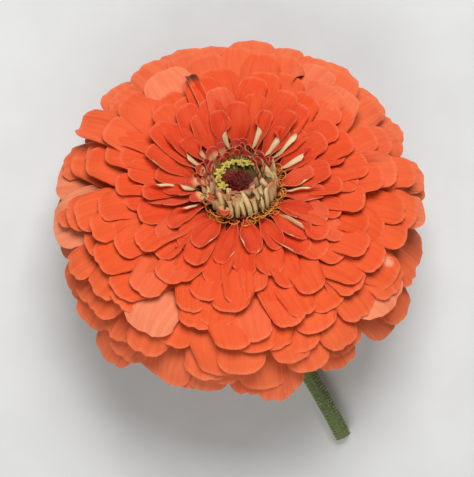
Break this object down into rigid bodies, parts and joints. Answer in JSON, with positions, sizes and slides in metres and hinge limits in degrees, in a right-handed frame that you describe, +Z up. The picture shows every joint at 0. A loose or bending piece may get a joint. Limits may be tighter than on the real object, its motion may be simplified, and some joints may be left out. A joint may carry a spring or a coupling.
{
  "type": "zinnia flower",
  "caption": "Cut double zinnia bloom with layered coral petals, a cream crown of young florets, a yellow and maroon eye and a short green stem.",
  "frame": {"origin": "middle of the bounding box at the level of the surface that the flower lies on", "axes": "+Z up from that surface, +Y the way the bloom's face leans, -Y towards the cut end of the stem"},
  "size_m": [0.1034, 0.1178, 0.0604],
  "materials": {
    "coral_petal": "soft matt petal, orange red near the eye and salmon at the rim",
    "cream_floret": "waxy cream tubes with coral hoods",
    "yellow_floret": "matt yellow green",
    "maroon_chaff": "dry, papery maroon",
    "green_bract": "leathery green with dark margins",
    "green_stem": "ribbed green, coarsely hairy"
  },
  "bodies": {
    "root": {"ray_florets": "coral_petal", "crown_florets": "cream_floret", "disc_florets": "yellow_floret", "chaff": "maroon_chaff", "involucre": "green_bract", "stem": "green_stem"}
  },
  "joints": []
}
